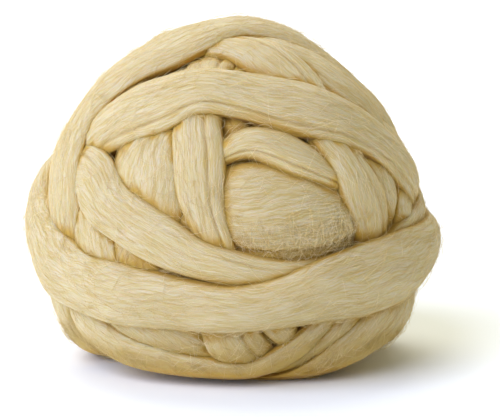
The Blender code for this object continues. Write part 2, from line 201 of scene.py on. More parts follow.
# Colours laid over one another, the first over cream: what steers the colour's share, two values
# of that, the share at each of them, and the colour.
COMBED = [
    ("streak", 0.30, 0.70, 0.0, 1.0, CREAM_LIGHT),
    ("hair", 0.51, 0.62, 0.0, 0.75, STRAW),
    ("hair", 0.36, 0.48, 0.75, 0.0, CREAM_PALE),
    ("blotch", 0.45, 0.68, 0.0, 0.30, CREAM),
    ("tone", 0.0, 0.45, 0.60, 0.0, STRAW),
    ("tone", 0.55, 1.0, 0.0, 0.75, CREAM_PALE),
]
# Painted shade over the combed colours: golden where less sky is seen, in hollows and near the floor,
# and dark golden to brown in the crevices between turns.
CREVICE_SHADE = [
    ("open", 0.15, 0.82, 0.95, 0.0, SHADE_GOLD),
    ("near", 0.50, 1.0, 0.92, 0.0, DEEP_SHADE_GOLD),
    ("near", 0.05, 0.50, 0.90, 0.0, DEEP_SHADE_UMBER),
]
FINISH = {"Roughness": 0.65, "Specular IOR Level": 0.30, "Sheen Weight": 0.08,
          "Sheen Roughness": 0.5, "Sheen Tint": (1.0, 0.96, 0.86, 1),
          "Subsurface Scale": 0.005, "Subsurface Radius": (1.0, 0.65, 0.28)}
BUMP_STRENGTH, BUMP_DEPTH = 0.08, 0.0008

# The light that goes through the turns and comes out again is left out of the loose strands,
# whose colours are brighter to make up for it.
BAND_SUBSURFACE, BAND_GAIN = 0.8, (1, 1, 1, 1)
LOOSE_SUBSURFACE, LOOSE_GAIN = 0.0, (1.38, 1.32, 1.15, 1)

# --- camera, light and floor ---
IMAGE_WIDTH, IMAGE_HEIGHT = 500, 417
BALL_PIXEL = (233.0, 200.0)          # where the ball's centre shows, from the top left
METRES_PER_PIXEL = 0.00048           # at the ball's centre
CAMERA_DISTANCE = 0.95               # from there
CAMERA_ELEVATION = math.radians(8)
SENSOR_WIDTH = 36                    # mm

WORLD_STRENGTH = 0.40
WORLD_COLOUR = (1, 0.965, 0.74, 1)
# Soft suns: where the light comes from, strength, angle in degrees and colour.
SUNS = {"key": ((-0.60, -0.58, 0.55), 3.0, 60, (0.94, 1.0, 1.36)),
        "back": ((-0.14, 0.60, 0.78), 1.85, 60, (1.0, 0.985, 0.90))}
FLOOR_HALF = 8                       # metres, half its side
FLOOR_COLOUR = (0.96, 0.99, 0.99, 1)
FLOOR_ROUGHNESS = 0.9

# --- how the ball is wound ---
# Deep turns that show only between the outer ones: great circles round an axis given by its
# (longitude, latitude, width in mm, how far under the outside in mm).
DEEP_TURNS = [
    (20, 35, 36, 10), (75, 10, 36, 10), (130, 50, 36, 9), (-60, 30, 36, 9),
    (-20, 60, 36, 8), (100, 75, 36, 8), (35, 5, 36, 8), (-75, 62, 36, 8),
    (160, 20, 36, 7), (-140, 45, 36, 7), (5, 82, 36, 7), (55, 40, 36, 7)]
DEEP_THICKNESS = 12        # mm

# Each outer turn is a closed route round the ball, first the deepest, last the outermost, and its
# thickness in mm. A row is (longitude, latitude, width in mm, lift in mm over the nominal outside):
# longitude 0 faces -Y and grows towards +X, latitude 90 is the top, both in degrees.
TURNS = {
    "tail": dict(thick=9, route=[
        (6, -12, 13, -3), (9.5, -23, 15, -1), (13.5, -29, 15, 0), (18, -33.5, 14, 0),
        (24, -38, 13, -1), (40, -46, 16, -2), (96, -58, 18, -2), (140, -42, 20, -2),
        (150, -20, 22, -3), (158, 10, 22, -4), (160, 45, 22, -4), (120, 78, 22, -4),
        (10, 76, 22, -4), (2, 50, 20, -4), (1, 32, 16, -4), (2, 8, 14, -5)]),
    "heart_low": dict(thick=9, route=[
        (-90, -14, 24, -4), (-45, -14, 24, -4), (-20, -12, 24, -3), (0, -9.5, 24, 0),
        (15, -9.5, 24, 2), (30, -6, 24, 1), (42, -1, 24, -3), (60, 4, 26, -4), (100, 10, 28, -4),
        (150, 12, 28, -4), (-150, 4, 28, -4), (-115, -8, 28, -4)]),
    "heart": dict(thick=13, route=[
        (-90, -16, 30, -3), (-60, -8, 32, -3), (-30, 0, 34, -2), (-10, 5, 38, 0), (2, 6.3, 41, 2),
        (15, 6.6, 41, 3), (28, 7, 40, 2), (39, 8, 38, 0), (60, 10, 32, -3), (95, 14, 28, -3),
        (140, 8, 28, -3), (180, -6, 28, -3), (-135, -16, 28, -3)]),
    "heart_high": dict(thick=13, route=[
        (-85, -10, 26, -3), (-60, 2, 26, -4), (-38, 11, 24, -4), (-20, 16.5, 18, -4),
        (-10, 19.5, 13, -3), (-5, 21.5, 12, -2), (-0.5, 23.6, 12.5, 0), (4, 25.4, 15, 2),
        (10, 25.4, 18, 3), (18.4, 22.2, 20, 3), (26.2, 18.4, 18.5, 3), (33, 15, 14, 1),
        (39, 12, 14, -2), (60, 8, 20, -4), (85, -2, 28, -3), (120, -18, 28, -2),
        (170, -30, 28, -2), (-140, -30, 28, -2), (-110, -22, 28, -2)]),
    "left_slope": dict(thick=11, route=[
        (-38, -26, 24, -3), (-32, -12, 30, -2), (-26, 0, 35, -1), (-27, 10, 38, 0),
        (-29, 20, 41, 0), (-26, 31, 36, -1), (-11, 46, 26, -2), (12, 64, 24, -3),
        (80, 78, 26, -3), (150, 62, 28, -2), (158, 36, 28, -2), (156, 8, 28, -2),
        (148, -20, 28, -2), (128, -46, 28, -1), (60, -66, 28, -1), (-10, -58, 26, -1),
        (-34, -42, 26, -2)]),
    "left_knuckle": dict(thick=10, route=[
        (-62, 44, 26, -3), (-60, 24, 28, -3), (-54, 6, 34, -1), (-50, -6, 37, 0),
        (-43, -18, 32, -1), (-28, -29, 29, -2), (-15, -38, 28, -2), (10, -52, 28, -2),
        (80, -62, 28, -2), (135, -40, 28, -2), (145, -10, 28, -2), (150, 20, 28, -2),
        (165, 50, 28, -2), (-120, 70, 28, -2), (-72, 60, 26, -2)]),
    "upright": dict(thick=10, route=[
        (-14, 68, 28, -2), (-14, 56, 28, -2), (-14, 44, 26, -1), (-13, 31, 24, 0),
        (-10.5, 21, 25, 1), (-9.5, 10, 23, 1), (-7.5, 2, 20, 0), (-5, -4, 18, -1),
        (-3, -14, 20, -2), (-3, -24, 24, -2), (0, -33, 27, -1), (8, -44, 28, -1),
        (40, -68, 28, -1), (150, -58, 28, -1), (172, -30, 28, -1), (176, 0, 28, -1),
        (178, 35, 28, -1), (180, 65, 28, -1), (-90, 86, 28, -1)]),
    "foot": dict(thick=11, route=[
        (-78, -8, 26, -2), (-66, -24, 26, 0), (-56, -33, 26, 0), (-42, -39, 25, -1),
        (-26, -43, 25, -2), (-8, -46, 24, -3), (6, -47, 24, -3), (18, -43, 24, -3),
        (28, -37, 24, -2), (37, -30, 26, -1), (50, -22, 28, -1), (75, -4, 28, -2),
        (95, 18, 28, -1), (115, 38, 28, -1), (160, 55, 28, -1), (-140, 52, 28, -1),
        (-105, 34, 28, -1), (-88, 12, 28, -1)]),
    "inner_right": dict(thick=9, route=[
        (30, 66, 28, -2), (42, 46, 26, -2), (52, 28, 24, -2), (60, 12, 24, -2), (67, 0, 24, -1),
        (67, -13, 25, 0), (61, -25, 26, 0), (55, -36, 26, -2), (42, -52, 28, -3),
        (-20, -80, 28, 0), (-120, -60, 28, 0), (-128, -30, 28, 0), (-124, 0, 28, 0),
        (-128, 32, 28, 0), (-155, 62, 28, 0), (110, 82, 28, 0)]),
    "shoulder": dict(thick=10, route=[
        (-60, 74, 28, 0), (5, 72, 28, 0), (38, 61, 30, 0), (57, 46, 32, -1), (70, 32, 30, -2),
        (78, 20, 28, -2), (88, 2, 28, -1), (98, -16, 28, 0), (112, -34, 28, 0), (150, -52, 28, 0),
        (-150, -48, 28, 0), (-118, -22, 28, 0), (-112, 6, 28, 0), (-108, 36, 28, 0),
        (-95, 60, 28, 0)]),
    "diagonal": dict(thick=11, route=[
        (-32, 67, 16, -1), (-14, 66, 17, 0), (2, 64, 20, 0), (15, 60, 25, 0), (26, 51, 27, 0),
        (33, 39, 27, 0), (38, 24, 24, 0), (44, 9, 26, 0), (49.5, -3, 28, 0), (50, -15, 27, 0),
        (47, -27, 25, -1), (40, -36, 26, -3), (30, -48, 28, -3), (-30, -74, 28, 0),
        (-140, -68, 28, 0), (-165, -40, 28, 0), (-166, -8, 28, 0), (-160, 24, 28, -1),
        (-140, 50, 26, -4), (-90, 68, 22, -6)]),
    "hip": dict(thick=13, route=[
        (78, 8, 30, -3), (72, -8, 33, 1), (67, -20, 35, 5), (61, -28, 35, 6), (52, -35, 34, -1),
        (42, -43, 33, -6), (32, -52, 32, -5), (0, -66, 30, 0), (-70, -62, 28, 0),
        (-100, -42, 28, 0), (-114, -16, 28, 0), (-130, 10, 28, 0), (-160, 32, 28, -1),
        (150, 42, 28, -3), (110, 34, 28, -6), (88, 20, 28, -6)]),
    "brow": dict(thick=11, route=[
        (-74, 6, 24, 0), (-63, 17, 24, 0), (-52, 27.5, 28, 0), (-38, 36, 36, 0),
        (-28, 38.8, 34, 0), (-20, 41.8, 31, 1), (-12, 43, 27, 1), (-3, 42.7, 26, 1),
        (8, 41.2, 27, 1), (20, 37.9, 29, 1), (32, 34.2, 28, 1),
        (48, 28.8, 25.5, 1), (60, 22, 24, 1), (72, 13, 25, 2), (82, 4, 26, 3), (91, -8, 26, 3),
        (112, -28, 28, 0), (150, -42, 28, 0), (-165, -44, 28, 0), (-125, -34, 28, 0),
        (-92, -14, 26, 0)]),
    "cheek": dict(thick=11, route=[
        (-78, 14, 26, 0), (-62, 13, 28, 1), (-50, 12, 29, 2), (-42, 6, 27, 3), (-32, 1, 24, 3),
        (-21.5, -4, 23, 2), (-11, -9, 19, 2), (1, -12, 17, 1), (14, -15, 18, 0),
        (32, -16, 22, 0), (60, -13, 26, 0), (90, -2, 28, 0), (125, 14, 28, 0),
        (165, 26, 28, 0), (-150, 28, 28, 0), (-110, 20, 28, 0)]),
    "crown": dict(thick=11, route=[
        (-67, -10, 33, 1), (-66, 0, 37, 1), (-66.5, 10, 38, 1), (-70, 20, 36, 1), (-72, 30, 32, 1),
        (-69, 42, 32, 1), (-62, 52, 32, 1), (-48, 62, 32, 0), (-30, 70, 32, 0), (0, 79, 32, -1),
        (60, 76, 32, -2), (88, 60, 32, -2.5), (97, 42, 32, -6), (102, 22, 30, -8),
        (105, 2, 28, -4), (108, -20, 28, 0), (118, -42, 28, 0), (170, -66, 28, 0),
        (-100, -58, 28, 0), (-80, -42, 28, 0), (-73, -26, 29, 0)]),
    "belt": dict(thick=15, route=[
        (-125, 8, 29, 3), (-108, 6, 29, 7), (-97, 1.5, 29, 12), (-87, -4, 29, 12),
        (-76, -10, 31, 3), (-62, -16, 32, 3), (-48, -19, 29, 3), (-30, -20.5, 27, 3),
        (-15, -22, 24, 2), (2, -22.5, 22, 2), (16, -21, 26, 2), (30, -18.5, 31, 3),
        (45, -16.5, 33, 3), (60, -14.5, 31, 4), (75, -12.5, 27, 6), (89, -10.5, 24, 9),
        (103, -8, 24, 6), (130, -3, 28, 4), (160, 3, 30, 3), (-165, 8, 30, 3), (-142, 10, 30, 3)]),
}


def smoothstep(t):
    """0 below 0, 1 above 1, and a smooth rise between them."""
    t = np.clip(t, 0.0, 1.0)
    return t * t * (3 - 2 * t)


def direction(lon, lat):
    """Unit vector of a longitude and latitude in degrees."""
    lon, lat = np.radians(lon), np.radians(lat)
    return np.stack([np.sin(lon) * np.cos(lat), -np.cos(lon) * np.cos(lat), np.sin(lat)], -1)


def outer_radius(d):
    """Centre to the nominal outside of the ball along d: round above, settled below."""
    sine = d[..., 2]
    cosine = np.sqrt(np.clip(1 - sine**2, 0, 1))
    settled = ((cosine / GIRTH_RADIUS) ** CORNER_POWER
               + (np.abs(sine) / FOOT_RADIUS) ** CORNER_POWER) ** (-1 / CORNER_POWER)
    low, high = SETTLED_BAND
    share = smoothstep((high - sine) / (high - low))
    return CROWN_RADIUS * (1 - share) + settled * share


def onto_floor(points):
    """Flattens what would reach below the resting surface, in the order in which it lies."""
    z = points[..., 2]
    scale = FLOOR_SOFTNESS + FLOOR_SINK
    pressed = scale * np.exp((z - FLOOR_SOFTNESS) / scale) - FLOOR_SINK
    points[..., 2] = np.where(z < FLOOR_SOFTNESS, pressed, z)
    return points


def closed_spline(rows, count):
    """A closed Catmull-Rom curve through rows of any width, sampled count times per span."""
    t = np.arange(count)[:, None] / count
    found = []
    for i in range(len(rows)):
        a, b, c, d = (rows[(i + k - 1) % len(rows)] for k in range(4))
        found.append(0.5 * (2 * b + (c - a) * t + (2 * a - 5 * b + 4 * c - d) * t**2
                            + (3 * b - a - 3 * c + d) * t**3))
    return np.concatenate(found)


def ring_smooth(values, sigma):
    """Gaussian smoothing along the first axis of a closed ring, sigma in samples."""
    reach = max(1, int(3 * sigma))
    weights = np.exp(-0.5 * (np.arange(-reach, reach + 1) / sigma) ** 2)
    weights /= weights.sum()
    return sum(w * np.roll(values, k - reach, axis=0) for k, w in enumerate(weights))


def route_frame(rows, step):
    """Even samples of a route: unit directions, sideways unit vectors, widths and lifts."""
    table = np.array(rows, float)
    rows = np.column_stack([direction(table[:, 0], table[:, 1]), table[:, 2:] / 1000])
    dense = closed_spline(rows, SPAN_SAMPLES)
    dense[:, :3] /= np.linalg.norm(dense[:, :3], axis=1, keepdims=True)
    path = dense[:, :3] * outer_radius(dense[:, :3])[:, None]
    length = np.concatenate([[0], np.cumsum(np.linalg.norm(np.roll(path, -1, 0) - path, axis=1))])
    count = int(round(length[-1] / step))
    at = np.linspace(0, length[-1], count, endpoint=False)
    looped = np.vstack([dense, dense[:1]])
    even = np.stack([np.interp(at, length, looped[:, k]) for k in range(5)], -1)
    even = ring_smooth(even, ROUTE_SMOOTHING / step)
    d = even[:, :3] / np.linalg.norm(even[:, :3], axis=1, keepdims=True)
    side = np.cross(np.roll(d, -1, 0) - np.roll(d, 1, 0), d)
    side /= np.linalg.norm(side, axis=1, keepdims=True)
    return d, side, even[:, 3], even[:, 4]


def great_circle(lon, lat, width, depth):
    """A route of eight rows round an axis."""
    axis = Vector(direction(lon, lat))
    first = axis.orthogonal().normalized()
    second = axis.cross(first)
    rows = []
    for k in range(8):
        turned = math.radians(45 * k)
        d = first * math.cos(turned) + second * math.sin(turned)
        rows.append((math.degrees(math.atan2(d.x, -d.y)), math.degrees(math.asin(d.z)),
                     width, -depth))
    return rows


def all_turns():
    """(name, route, thickness in metres) of each turn, from the deepest to the outermost."""
    deep = [(f"deep_{k}", great_circle(*row), DEEP_THICKNESS / 1000)
            for k, row in enumerate(DEEP_TURNS)]
    return deep + [(name, turn["route"], turn["thick"] / 1000) for name, turn in TURNS.items()]


def offset(d, side, sideways):
    """Directions that lie this far (metres, rows by lanes) to the side of a route."""
    angle = sideways / outer_radius(d)[:, None]
    return d[:, None] * np.cos(angle)[..., None] + side[:, None] * np.sin(angle)[..., None]


def contacts(where, rooms, owners):
    """Pairs of a later turn's sample and an earlier one's beside it, and the gap they keep."""
    tree = KDTree(len(where))
    for k, point in enumerate(where):
        tree.insert(point, k)
    tree.balance()
    above, below, gap = [], [], []
    for k, point in enumerate(where):
        for _, other, far in tree.find_range(point, CONTACT):
            if owners[k] > owners[other]:
                above.append(k)
                below.append(other)
                near = 1 - (far / CONTACT) ** 2 / 2
                gap.append((1 - PRESS) * (rooms[k] + rooms[other]) * near)
    return np.array(above), np.array(below), np.array(gap)


def tilt_of(rows):
    """Slope across the lanes of each row."""
    return (rows * LANES).sum(1) / (LANES**2).sum()


def settle(turns):
    """
    Heights of each turn's middle surface over the nominal outside, rows by lanes, once the
    turns have settled: where two cross, the later one is pushed out and the earlier one in.
    """
    where, wanted, rooms, owners = [], [], [], []
    for order, (_, route, thick) in enumerate(turns):
        d, side, width, lift = route_frame(route, ROUTE_STEP)
        dirs = offset(d, side, LANES[None] * width[:, None] / 2)
        where.append((dirs * CROWN_RADIUS).reshape(-1, 3))
        wanted.append(np.repeat(lift - thick / 2, len(LANES)))
        rooms.append(np.tile(thick * np.sqrt(1 - LANES**2) / 2, len(d)))
        owners.append(np.full(len(d) * len(LANES), order))
    ends = np.cumsum([len(heights) for heights in wanted])
    spans = [slice(end - len(heights), end) for end, heights in zip(ends, wanted)]
    wanted = np.concatenate(wanted)
    above, below, gap = contacts(np.concatenate(where), np.concatenate(rooms),
                                 np.concatenate(owners))
    height = wanted.copy()
    for _ in range(ROUNDS):
        short = np.clip(gap - (height[above] - height[below]), 0, None)
        out, inward = np.zeros_like(height), np.zeros_like(height)
        np.maximum.at(out, above, short)
        np.maximum.at(inward, below, short)
        height += PUSH_OUT * out - PUSH_IN * inward
        height += RETURN * (wanted - height)
        for span in spans:
            rows = height[span].reshape(-1, len(LANES))
            flat = rows.mean(1, keepdims=True) + tilt_of(rows)[:, None] * LANES
            rows = ring_smooth((rows + flat) / 2, STIFFNESS / ROUTE_STEP / 2)
            height[span] = rows.reshape(-1)
    return [height[span].reshape(-1, len(LANES)) for span in spans]


def skin(rows, columns):
    """Outward faces of a closed ring of closed sections."""
    index = np.arange(rows * columns).reshape(rows, columns)
    after, beside = np.roll(index, -1, 0), np.roll(index, -1, 1)
    return np.stack([index, after, np.roll(beside, -1, 0), beside], -1).reshape(-1, 4)


# --- the shape of a band ---
def section(top_points, under_points):
    """Across (-1 to 1) and up (-1 to 1) round a rounded flat section, from its right edge."""
    angle = np.concatenate([np.linspace(0, np.pi, top_points, endpoint=False),
                            np.linspace(np.pi, 2 * np.pi, under_points, endpoint=False)])
    across = np.sign(np.cos(angle)) * np.abs(np.cos(angle)) ** EDGE_POWER
    up = np.sign(np.sin(angle)) * np.abs(np.sin(angle)) ** EDGE_POWER
    return across, up


def noise(seed, across, along, cells):
    """Smooth noise from -1 to 1. Across counts in cells, along runs 0 to 1 round the loop."""
    table = np.random.default_rng(seed).uniform(-1, 1, (NOISE_CELLS, cells))
    down = along * cells
    x0, y0 = np.floor(across).astype(int), np.floor(down).astype(int)
    x, y = smoothstep(across - x0), smoothstep(down - y0)
    a = table[x0 % NOISE_CELLS, y0 % cells] * (1 - x) + table[(x0 + 1) % NOISE_CELLS, y0 % cells] * x
    y1 = (y0 + 1) % cells
    b = table[x0 % NOISE_CELLS, y1] * (1 - x) + table[(x0 + 1) % NOISE_CELLS, y1] * x
    return a * (1 - y) + b * y


def settled_rows(heights, count):
    """Mean, tilt and bend of a settled turn, at this many rows."""
    values = (heights.mean(1), tilt_of(heights),
              (heights * LANE_BEND).sum(1) / (LANE_BEND**2).sum())
    at = np.linspace(0, len(heights), count, endpoint=False)
    return [np.interp(at, np.arange(len(heights) + 1), np.append(v, v[0])) for v in values]


def band_surface(route, thick, heights, step, across, up):
    """Points of a turn, rows along it by columns round its section, and its width by row."""
    d, side, width, _ = route_frame(route, step)
    mean, tilt, bend = (value[:, None] for value in settled_rows(heights, len(d)))
    dirs = offset(d, side, across[None] * width[:, None] / 2)
    height = mean + tilt * across + bend * (across**2 - np.mean(LANES**2)) + up * thick / 2
    return CENTRE + dirs * (outer_radius(dirs) + height)[..., None], width


def grid_normals(points):
    """Outward unit normals of a closed ring of closed sections."""
    along = np.roll(points, -1, 0) - np.roll(points, 1, 0)
    around = np.roll(points, -1, 1) - np.roll(points, 1, 1)
    normals = np.cross(along, around)
    return normals / np.maximum(np.linalg.norm(normals, axis=2, keepdims=True), 1e-12)


def with_relief(points, width, across, seed, creases, softer, closed, top):
    """
    Points moved along a band's own normals by lengthwise locks and creases and by a pinch where a
    neighbour closes in, and how deep in a crease each lies, from 0 to 1.
    """
    rows, columns = points.shape[:2]
    along = (np.arange(rows) / rows)[:, None] * np.ones((1, columns))
    length = rows * BAND_STEP * 1000   # less than it is on a deep turn, so its locks are longer
    mean_width = width.mean()
    lateral = across[None] * mean_width * 500 * np.ones((rows, 1))
    one_cell = np.full_like(lateral, 0.5)
    drift = (DRIFT * noise(seed + 1, one_cell, along, DRIFT_CELLS)
             + OWN_DRIFT * noise(seed + 2, lateral / OWN_DRIFT_WIDTH, along, OWN_DRIFT_CELLS))
    relief = -PINCH * closed**2 * (np.arange(columns) < top)
    for k, (wide, long, high) in enumerate(LOCKS):
        cells = max(FEWEST_LOCKS, int(length / long))
        at = (lateral + drift) / wide + NOISE_SHIFT
        relief += softer * high * noise(seed + 10 + k, at, along, cells)
    groove = np.zeros((rows, columns))
    for place, deep, wide in creases:
        away = lateral + CREASE_DRIFT * drift - place * mean_width * 500
        swing = noise(seed + 5, one_cell, along, CREASE_CELLS)
        depth = deep * (CREASE_MEAN + CREASE_SWING * swing)
        dip = np.exp(-((away / wide) ** 2))
        relief -= depth * dip
        groove = np.maximum(groove, dip * np.clip(depth, 0, 1))
    return points + grid_normals(points) * (relief / 1000)[..., None], groove


def above_floor(points):
    """Rests the points on the surface."""
    points = onto_floor(points)
    points[..., 2] = np.maximum(points[..., 2], FLOOR_GAP)
    return points


def sampled(grid, rows, columns):
    """A grid's values at fractional rows and columns, where both wrap."""
    n, m = grid.shape[:2]
    r0, c0 = np.floor(rows).astype(int), np.floor(columns).astype(int)
    fr, fc = (rows - r0)[..., None], (columns - c0)[..., None]
    near = grid[r0 % n, c0 % m] * (1 - fc) + grid[r0 % n, (c0 + 1) % m] * fc
    far = grid[(r0 + 1) % n, c0 % m] * (1 - fc) + grid[(r0 + 1) % n, (c0 + 1) % m] * fc
    return near * (1 - fr) + far * fr


def tree_of(grids):
    """All turns and the floor below them, as one tree for rays."""
    verts, faces, start = [], [], 0
    for grid in grids:
        rows, columns = grid.shape[:2]
        verts.extend(grid.reshape(-1, 3).tolist())
        faces.extend((skin(rows, columns) + start).tolist())
        start += rows * columns
    far = OPEN_FLOOR
    faces.append([start, start + 1, start + 2, start + 3])
    verts.extend([(-far, -far, 0), (far, -far, 0), (far, far, 0), (-far, far, 0)])
    return BVHTree.FromPolygons(verts, faces)


def openness(grids):
    """Shares of the sky that each point of each grid sees: past all turns, and past the near ones."""
    tree = tree_of(grids)
    rays = np.random.default_rng(SKY_SEED).normal(size=(OPEN_RAYS, 3))
    rays *= OPEN_SPREAD / np.linalg.norm(rays, axis=1, keepdims=True)
    found = []
    for grid in grids:
        normals = grid_normals(grid).reshape(-1, 3)
        points = grid.reshape(-1, 3) + normals * OPEN_LIFT
        aims = rays[None] + normals[:, None]
        aims /= np.linalg.norm(aims, axis=2, keepdims=True)
        reach = [[tree.ray_cast(Vector(point), Vector(aim), OPEN_REACH)[3] or OPEN_REACH for aim in fan]
                 for point, fan in zip(points, aims)]
        reach = np.array(reach).reshape(*grid.shape[:2], OPEN_RAYS)
        found.append(np.stack([(reach >= OPEN_REACH).mean(2), (reach >= NEAR_REACH).mean(2)], axis=2))
    return found


def measured_sky(turns, settled):
    """The openness of each turn, at coarse rows and columns."""
    round_section = section(COARSE_TOP, COARSE_UNDER)
    return openness([onto_floor(band_surface(route, thick, heights, ROUTE_STEP, *round_section)[0])
                     for (_, route, thick), heights in zip(turns, settled)])


def finer_sky(sky, rows, top, under):
    """A turn's coarse openness at this many rows and points across."""
    coarse_rows = np.arange(rows) * sky.shape[0] / rows
    whole = COARSE_TOP + COARSE_UNDER
    coarse_columns = np.concatenate([np.linspace(0, COARSE_TOP, top, endpoint=False),
                                     np.linspace(COARSE_TOP, whole, under, endpoint=False)])
    return sampled(sky, *np.meshgrid(coarse_rows, coarse_columns, indexing="ij"))


def flow_of(rows, step, across, width, order):
    """Fibre coordinates in mm: across the band, and round its loop as two, so they close."""
    radius = rows * step * 1000 / (2 * np.pi)
    turned = 2 * np.pi * np.arange(rows) / rows
    flow = np.zeros((rows, len(across), 3))
    flow[..., 0] = across[None] * width.mean() * 500 + FLOW_SHIFT * order
    flow[..., 1] = (np.cos(turned) * radius)[:, None]
    flow[..., 2] = (np.sin(turned) * radius)[:, None]
    return flow


def finished_band(order, turn, heights, sky):
    """A turn's points by rows and columns, and what is known at each: normal, sky and flow."""
    name, route, thick = turn
    deep = name.startswith("deep")
    step = DEEP_STEP if deep else BAND_STEP
    top, under = (DEEP_TOP_POINTS, DEEP_UNDER_POINTS) if deep else (TOP_POINTS, UNDER_POINTS)
    across, up = section(top, under)
    points, width = band_surface(route, thick, heights, step, across, up)
    rows = len(points)
    seen = finer_sky(sky, rows, top, under)
    points, groove = with_relief(points, width, across, SEEDS_PER_TURN * order, CREASES.get(name, []),
                                 DEEP_SOFTNESS if deep else 1.0, 1 - seen[..., 1], top)
    points = above_floor(points)
    # The sky carries the painted shade, and creases see less of it.
    return dict(points=points, normals=grid_normals(points),
                sky=seen * (1 - CREASE_SHADE * groove[..., None]),
                flow=flow_of(rows, step, across, width, order), across=across, top=top, step=step)


# --- meshes ---
def add_piece(name, verts, faces, attributes, material):
    """A piece of the ball with these numbers or vectors at its vertices."""
    mesh = bpy.data.meshes.new(name)
    mesh.from_pydata(verts.tolist(), [], faces)
    for label, values in attributes.items():
        kind, key = ("FLOAT", "value") if values.ndim == 1 else ("FLOAT_VECTOR", "vector")
        layer = mesh.attributes.new(label, kind, "POINT")
        layer.data.foreach_set(key, values.reshape(-1).astype(np.float32))
    mesh.shade_smooth()
    mesh.materials.append(material)
    piece = bpy.data.objects.new(name, mesh)
    bpy.context.scene.collection.objects.link(piece)
    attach(piece, "root")
    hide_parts(NODE)


def add_band(name, band, material):
    points, sky = band["points"], band["sky"]
    rows, columns = points.shape[:2]
    attributes = {"open": sky[..., 0].ravel(), "near": sky[..., 1].ravel(),
                  "flow": band["flow"].reshape(-1, 3), "tone": np.full(rows * columns, BAND_TONE)}
    add_piece(name, points.reshape(-1, 3), skin(rows, columns).tolist(), attributes, material)


def strands(paths, normals, radius):
    """Closed strands along the paths, pointed at both ends: vertices and faces."""
    count, steps = paths.shape[:2]
    tangent = np.gradient(paths, axis=1)
    side = np.cross(tangent, normals)
    side /= np.maximum(np.linalg.norm(side, axis=2, keepdims=True), 1e-12)
    rise = np.cross(side, tangent)
    rise /= np.maximum(np.linalg.norm(rise, axis=2, keepdims=True), 1e-12)
    t = np.linspace(0, 1, steps)[1:-1]
    girth = radius[:, None] * np.sin(np.pi * t) ** TAPER
    angle = np.pi / 2 + np.arange(SIDES) * 2 * np.pi / SIDES
    ring = (side[:, 1:-1, None] * np.cos(angle)[:, None] + rise[:, 1:-1, None] * np.sin(angle)[:, None])
    rings = paths[:, 1:-1, None] + ring * girth[..., None, None]
    rings = rings.reshape(count, SIDES * (steps - 2), 3)
    verts = np.concatenate([paths[:, :1], rings, paths[:, -1:]], axis=1)
    last = SIDES * (steps - 2) + 1
    one = []
    for k in range(SIDES):
        following = (k + 1) % SIDES
        one.append((0, 1 + k, 1 + following))
        for row in range(steps - 3):
            a, b = 1 + SIDES * row + k, 1 + SIDES * row + following
            one.append((a, a + SIDES, b + SIDES))
            one.append((a, b + SIDES, b))
        one.append((last - SIDES + k, last, last - SIDES + following))
    faces = (np.array(one)[None] + (last + 1) * np.arange(count)[:, None, None]).reshape(-1, 3)
    return verts.reshape(-1, 3), faces


def by_vertex(values):
    """Values along each strand, from its path's points to its vertices."""
    inner = np.repeat(values[:, 1:-1], SIDES, axis=1)
    joined = np.concatenate([values[:, :1], inner, values[:, -1:]], axis=1)
    return joined.reshape(-1, *values.shape[2:])


def cell_areas(points):
    """Area of the face that starts at each point of a band, in square metres."""
    along = np.linalg.norm(np.roll(points, -1, 0) - points, axis=2)
    around = np.linalg.norm(np.roll(points, -1, 1) - points, axis=2)
    return along * around


def shown_area(band):
    """Area of a turn's outside that shows, in square metres."""
    top = band["top"]
    return cell_areas(band["points"])[:, :top][band["sky"][:, :top, 0] > SHOWN].sum()


def seeds(band, kind, rng):
    """Rows and columns of random points of a band's outside, at the kind's sky and place."""
    sky = band["sky"][..., 0]
    start, full, fade, end = kind["shows"]
    weight = cell_areas(band["points"]) * smoothstep((sky - start) / (full - start))
    weight *= 1 - smoothstep((sky - fade) / (end - fade))
    low, high = kind["place"]
    weight *= smoothstep((band["across"] - low) / (high - low))
    weight[:, band["top"]:] = 0
    count = int(weight.sum() * kind["per_cm2"] * 1e4)
    picked = rng.choice(weight.size, count, p=(weight / weight.sum()).ravel())
    rows, columns = np.unravel_index(picked, weight.shape)
    return rows + rng.random(count), columns + rng.random(count)


def grow(band, kind, rng):
    """Strands of one kind over a band: vertices, faces and attributes."""
    points = band["points"]
    rows, columns = seeds(band, kind, rng)
    count, steps = len(rows), kind["steps"]

    def spread(limits):
        return rng.uniform(*limits, count)[:, None]

    t = np.linspace(-0.5, 0.5, steps)[None]
    length = spread(kind["length"])
    slant = np.radians(rng.normal(kind["slanted"], kind["slant"], count))[:, None]
    waves = np.sin(2 * np.pi * (t * spread(kind["waves"]) + spread((0, 1))))
    along = length * np.cos(slant) * t
    lateral = length * np.sin(slant) * t + spread(kind["wander"]) * waves
    pitch = np.linalg.norm(np.roll(points, -1, 1) - points, axis=2)[..., None] * 1000
    pitch = np.maximum(sampled(pitch, rows, columns), FINEST_PITCH)
    row_at = rows[:, None] + along / (band["step"] * 1000)
    column_at = np.clip(columns[:, None] - lateral / pitch, -OVERHANG, band["top"] + OVERHANG)
    known = np.concatenate([band[key] for key in ("points", "normals", "sky", "flow")], axis=2)
    place, normal, sky, flow = np.split(sampled(known, row_at, column_at), (3, 6, 8), axis=2)
    outward = normal / np.linalg.norm(normal, axis=2, keepdims=True)
    loose_end, arch = (t + 0.5) ** LOOSE_POWER, np.cos(np.pi * t) ** ARCH_POWER
    rise = np.where(spread((0, 1)) < kind["free"], loose_end, arch) * spread(kind["lift"]) + ROOT_DEPTH
    radius = spread(kind["radius"]) / 1000
    paths = place + outward * (rise / 1000)[..., None]
    paths[..., 2] = np.maximum(paths[..., 2], FLOOR_GAP + radius)
    verts, faces = strands(paths, outward, radius[:, 0])
    tone = np.repeat(spread((0, 1)), steps, axis=1)
    seen = np.clip(sky + SKY_PER_MM * rise[..., None] + kind["paler"], 0, 1)
    return dict(verts=verts, faces=faces, open=by_vertex(seen[..., 0]), near=by_vertex(seen[..., 1]),
                flow=by_vertex(flow), tone=by_vertex(tone))


